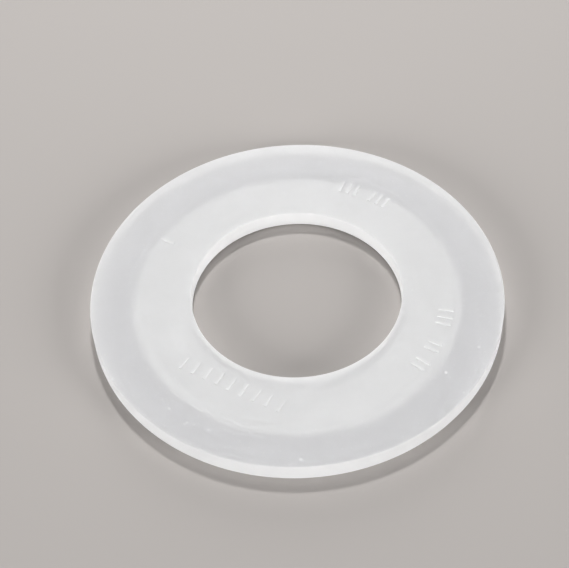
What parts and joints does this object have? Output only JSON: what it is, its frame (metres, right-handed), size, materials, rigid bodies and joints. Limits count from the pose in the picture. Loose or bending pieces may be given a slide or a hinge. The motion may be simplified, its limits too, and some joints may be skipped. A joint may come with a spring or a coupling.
{
  "type": "flush valve seal",
  "caption": "Flat round seal of milky silicone rubber that closes the outlet of a toilet cistern under its flush valve.",
  "frame": {"origin": "on the ring's axis, in the plane of its underside", "axes": "+Z along the ring's axis, from the underside with the recess towards the face with the raised bars; the straight row of bars lies towards -X and -Y"},
  "size_m": [0.063, 0.063, 0.003],
  "materials": {
    "milky_silicone": "milky translucent silicone rubber with a satin skin, lighter at its edges"
  },
  "bodies": {
    "root": {"seal_ring": "milky_silicone"}
  },
  "joints": []
}
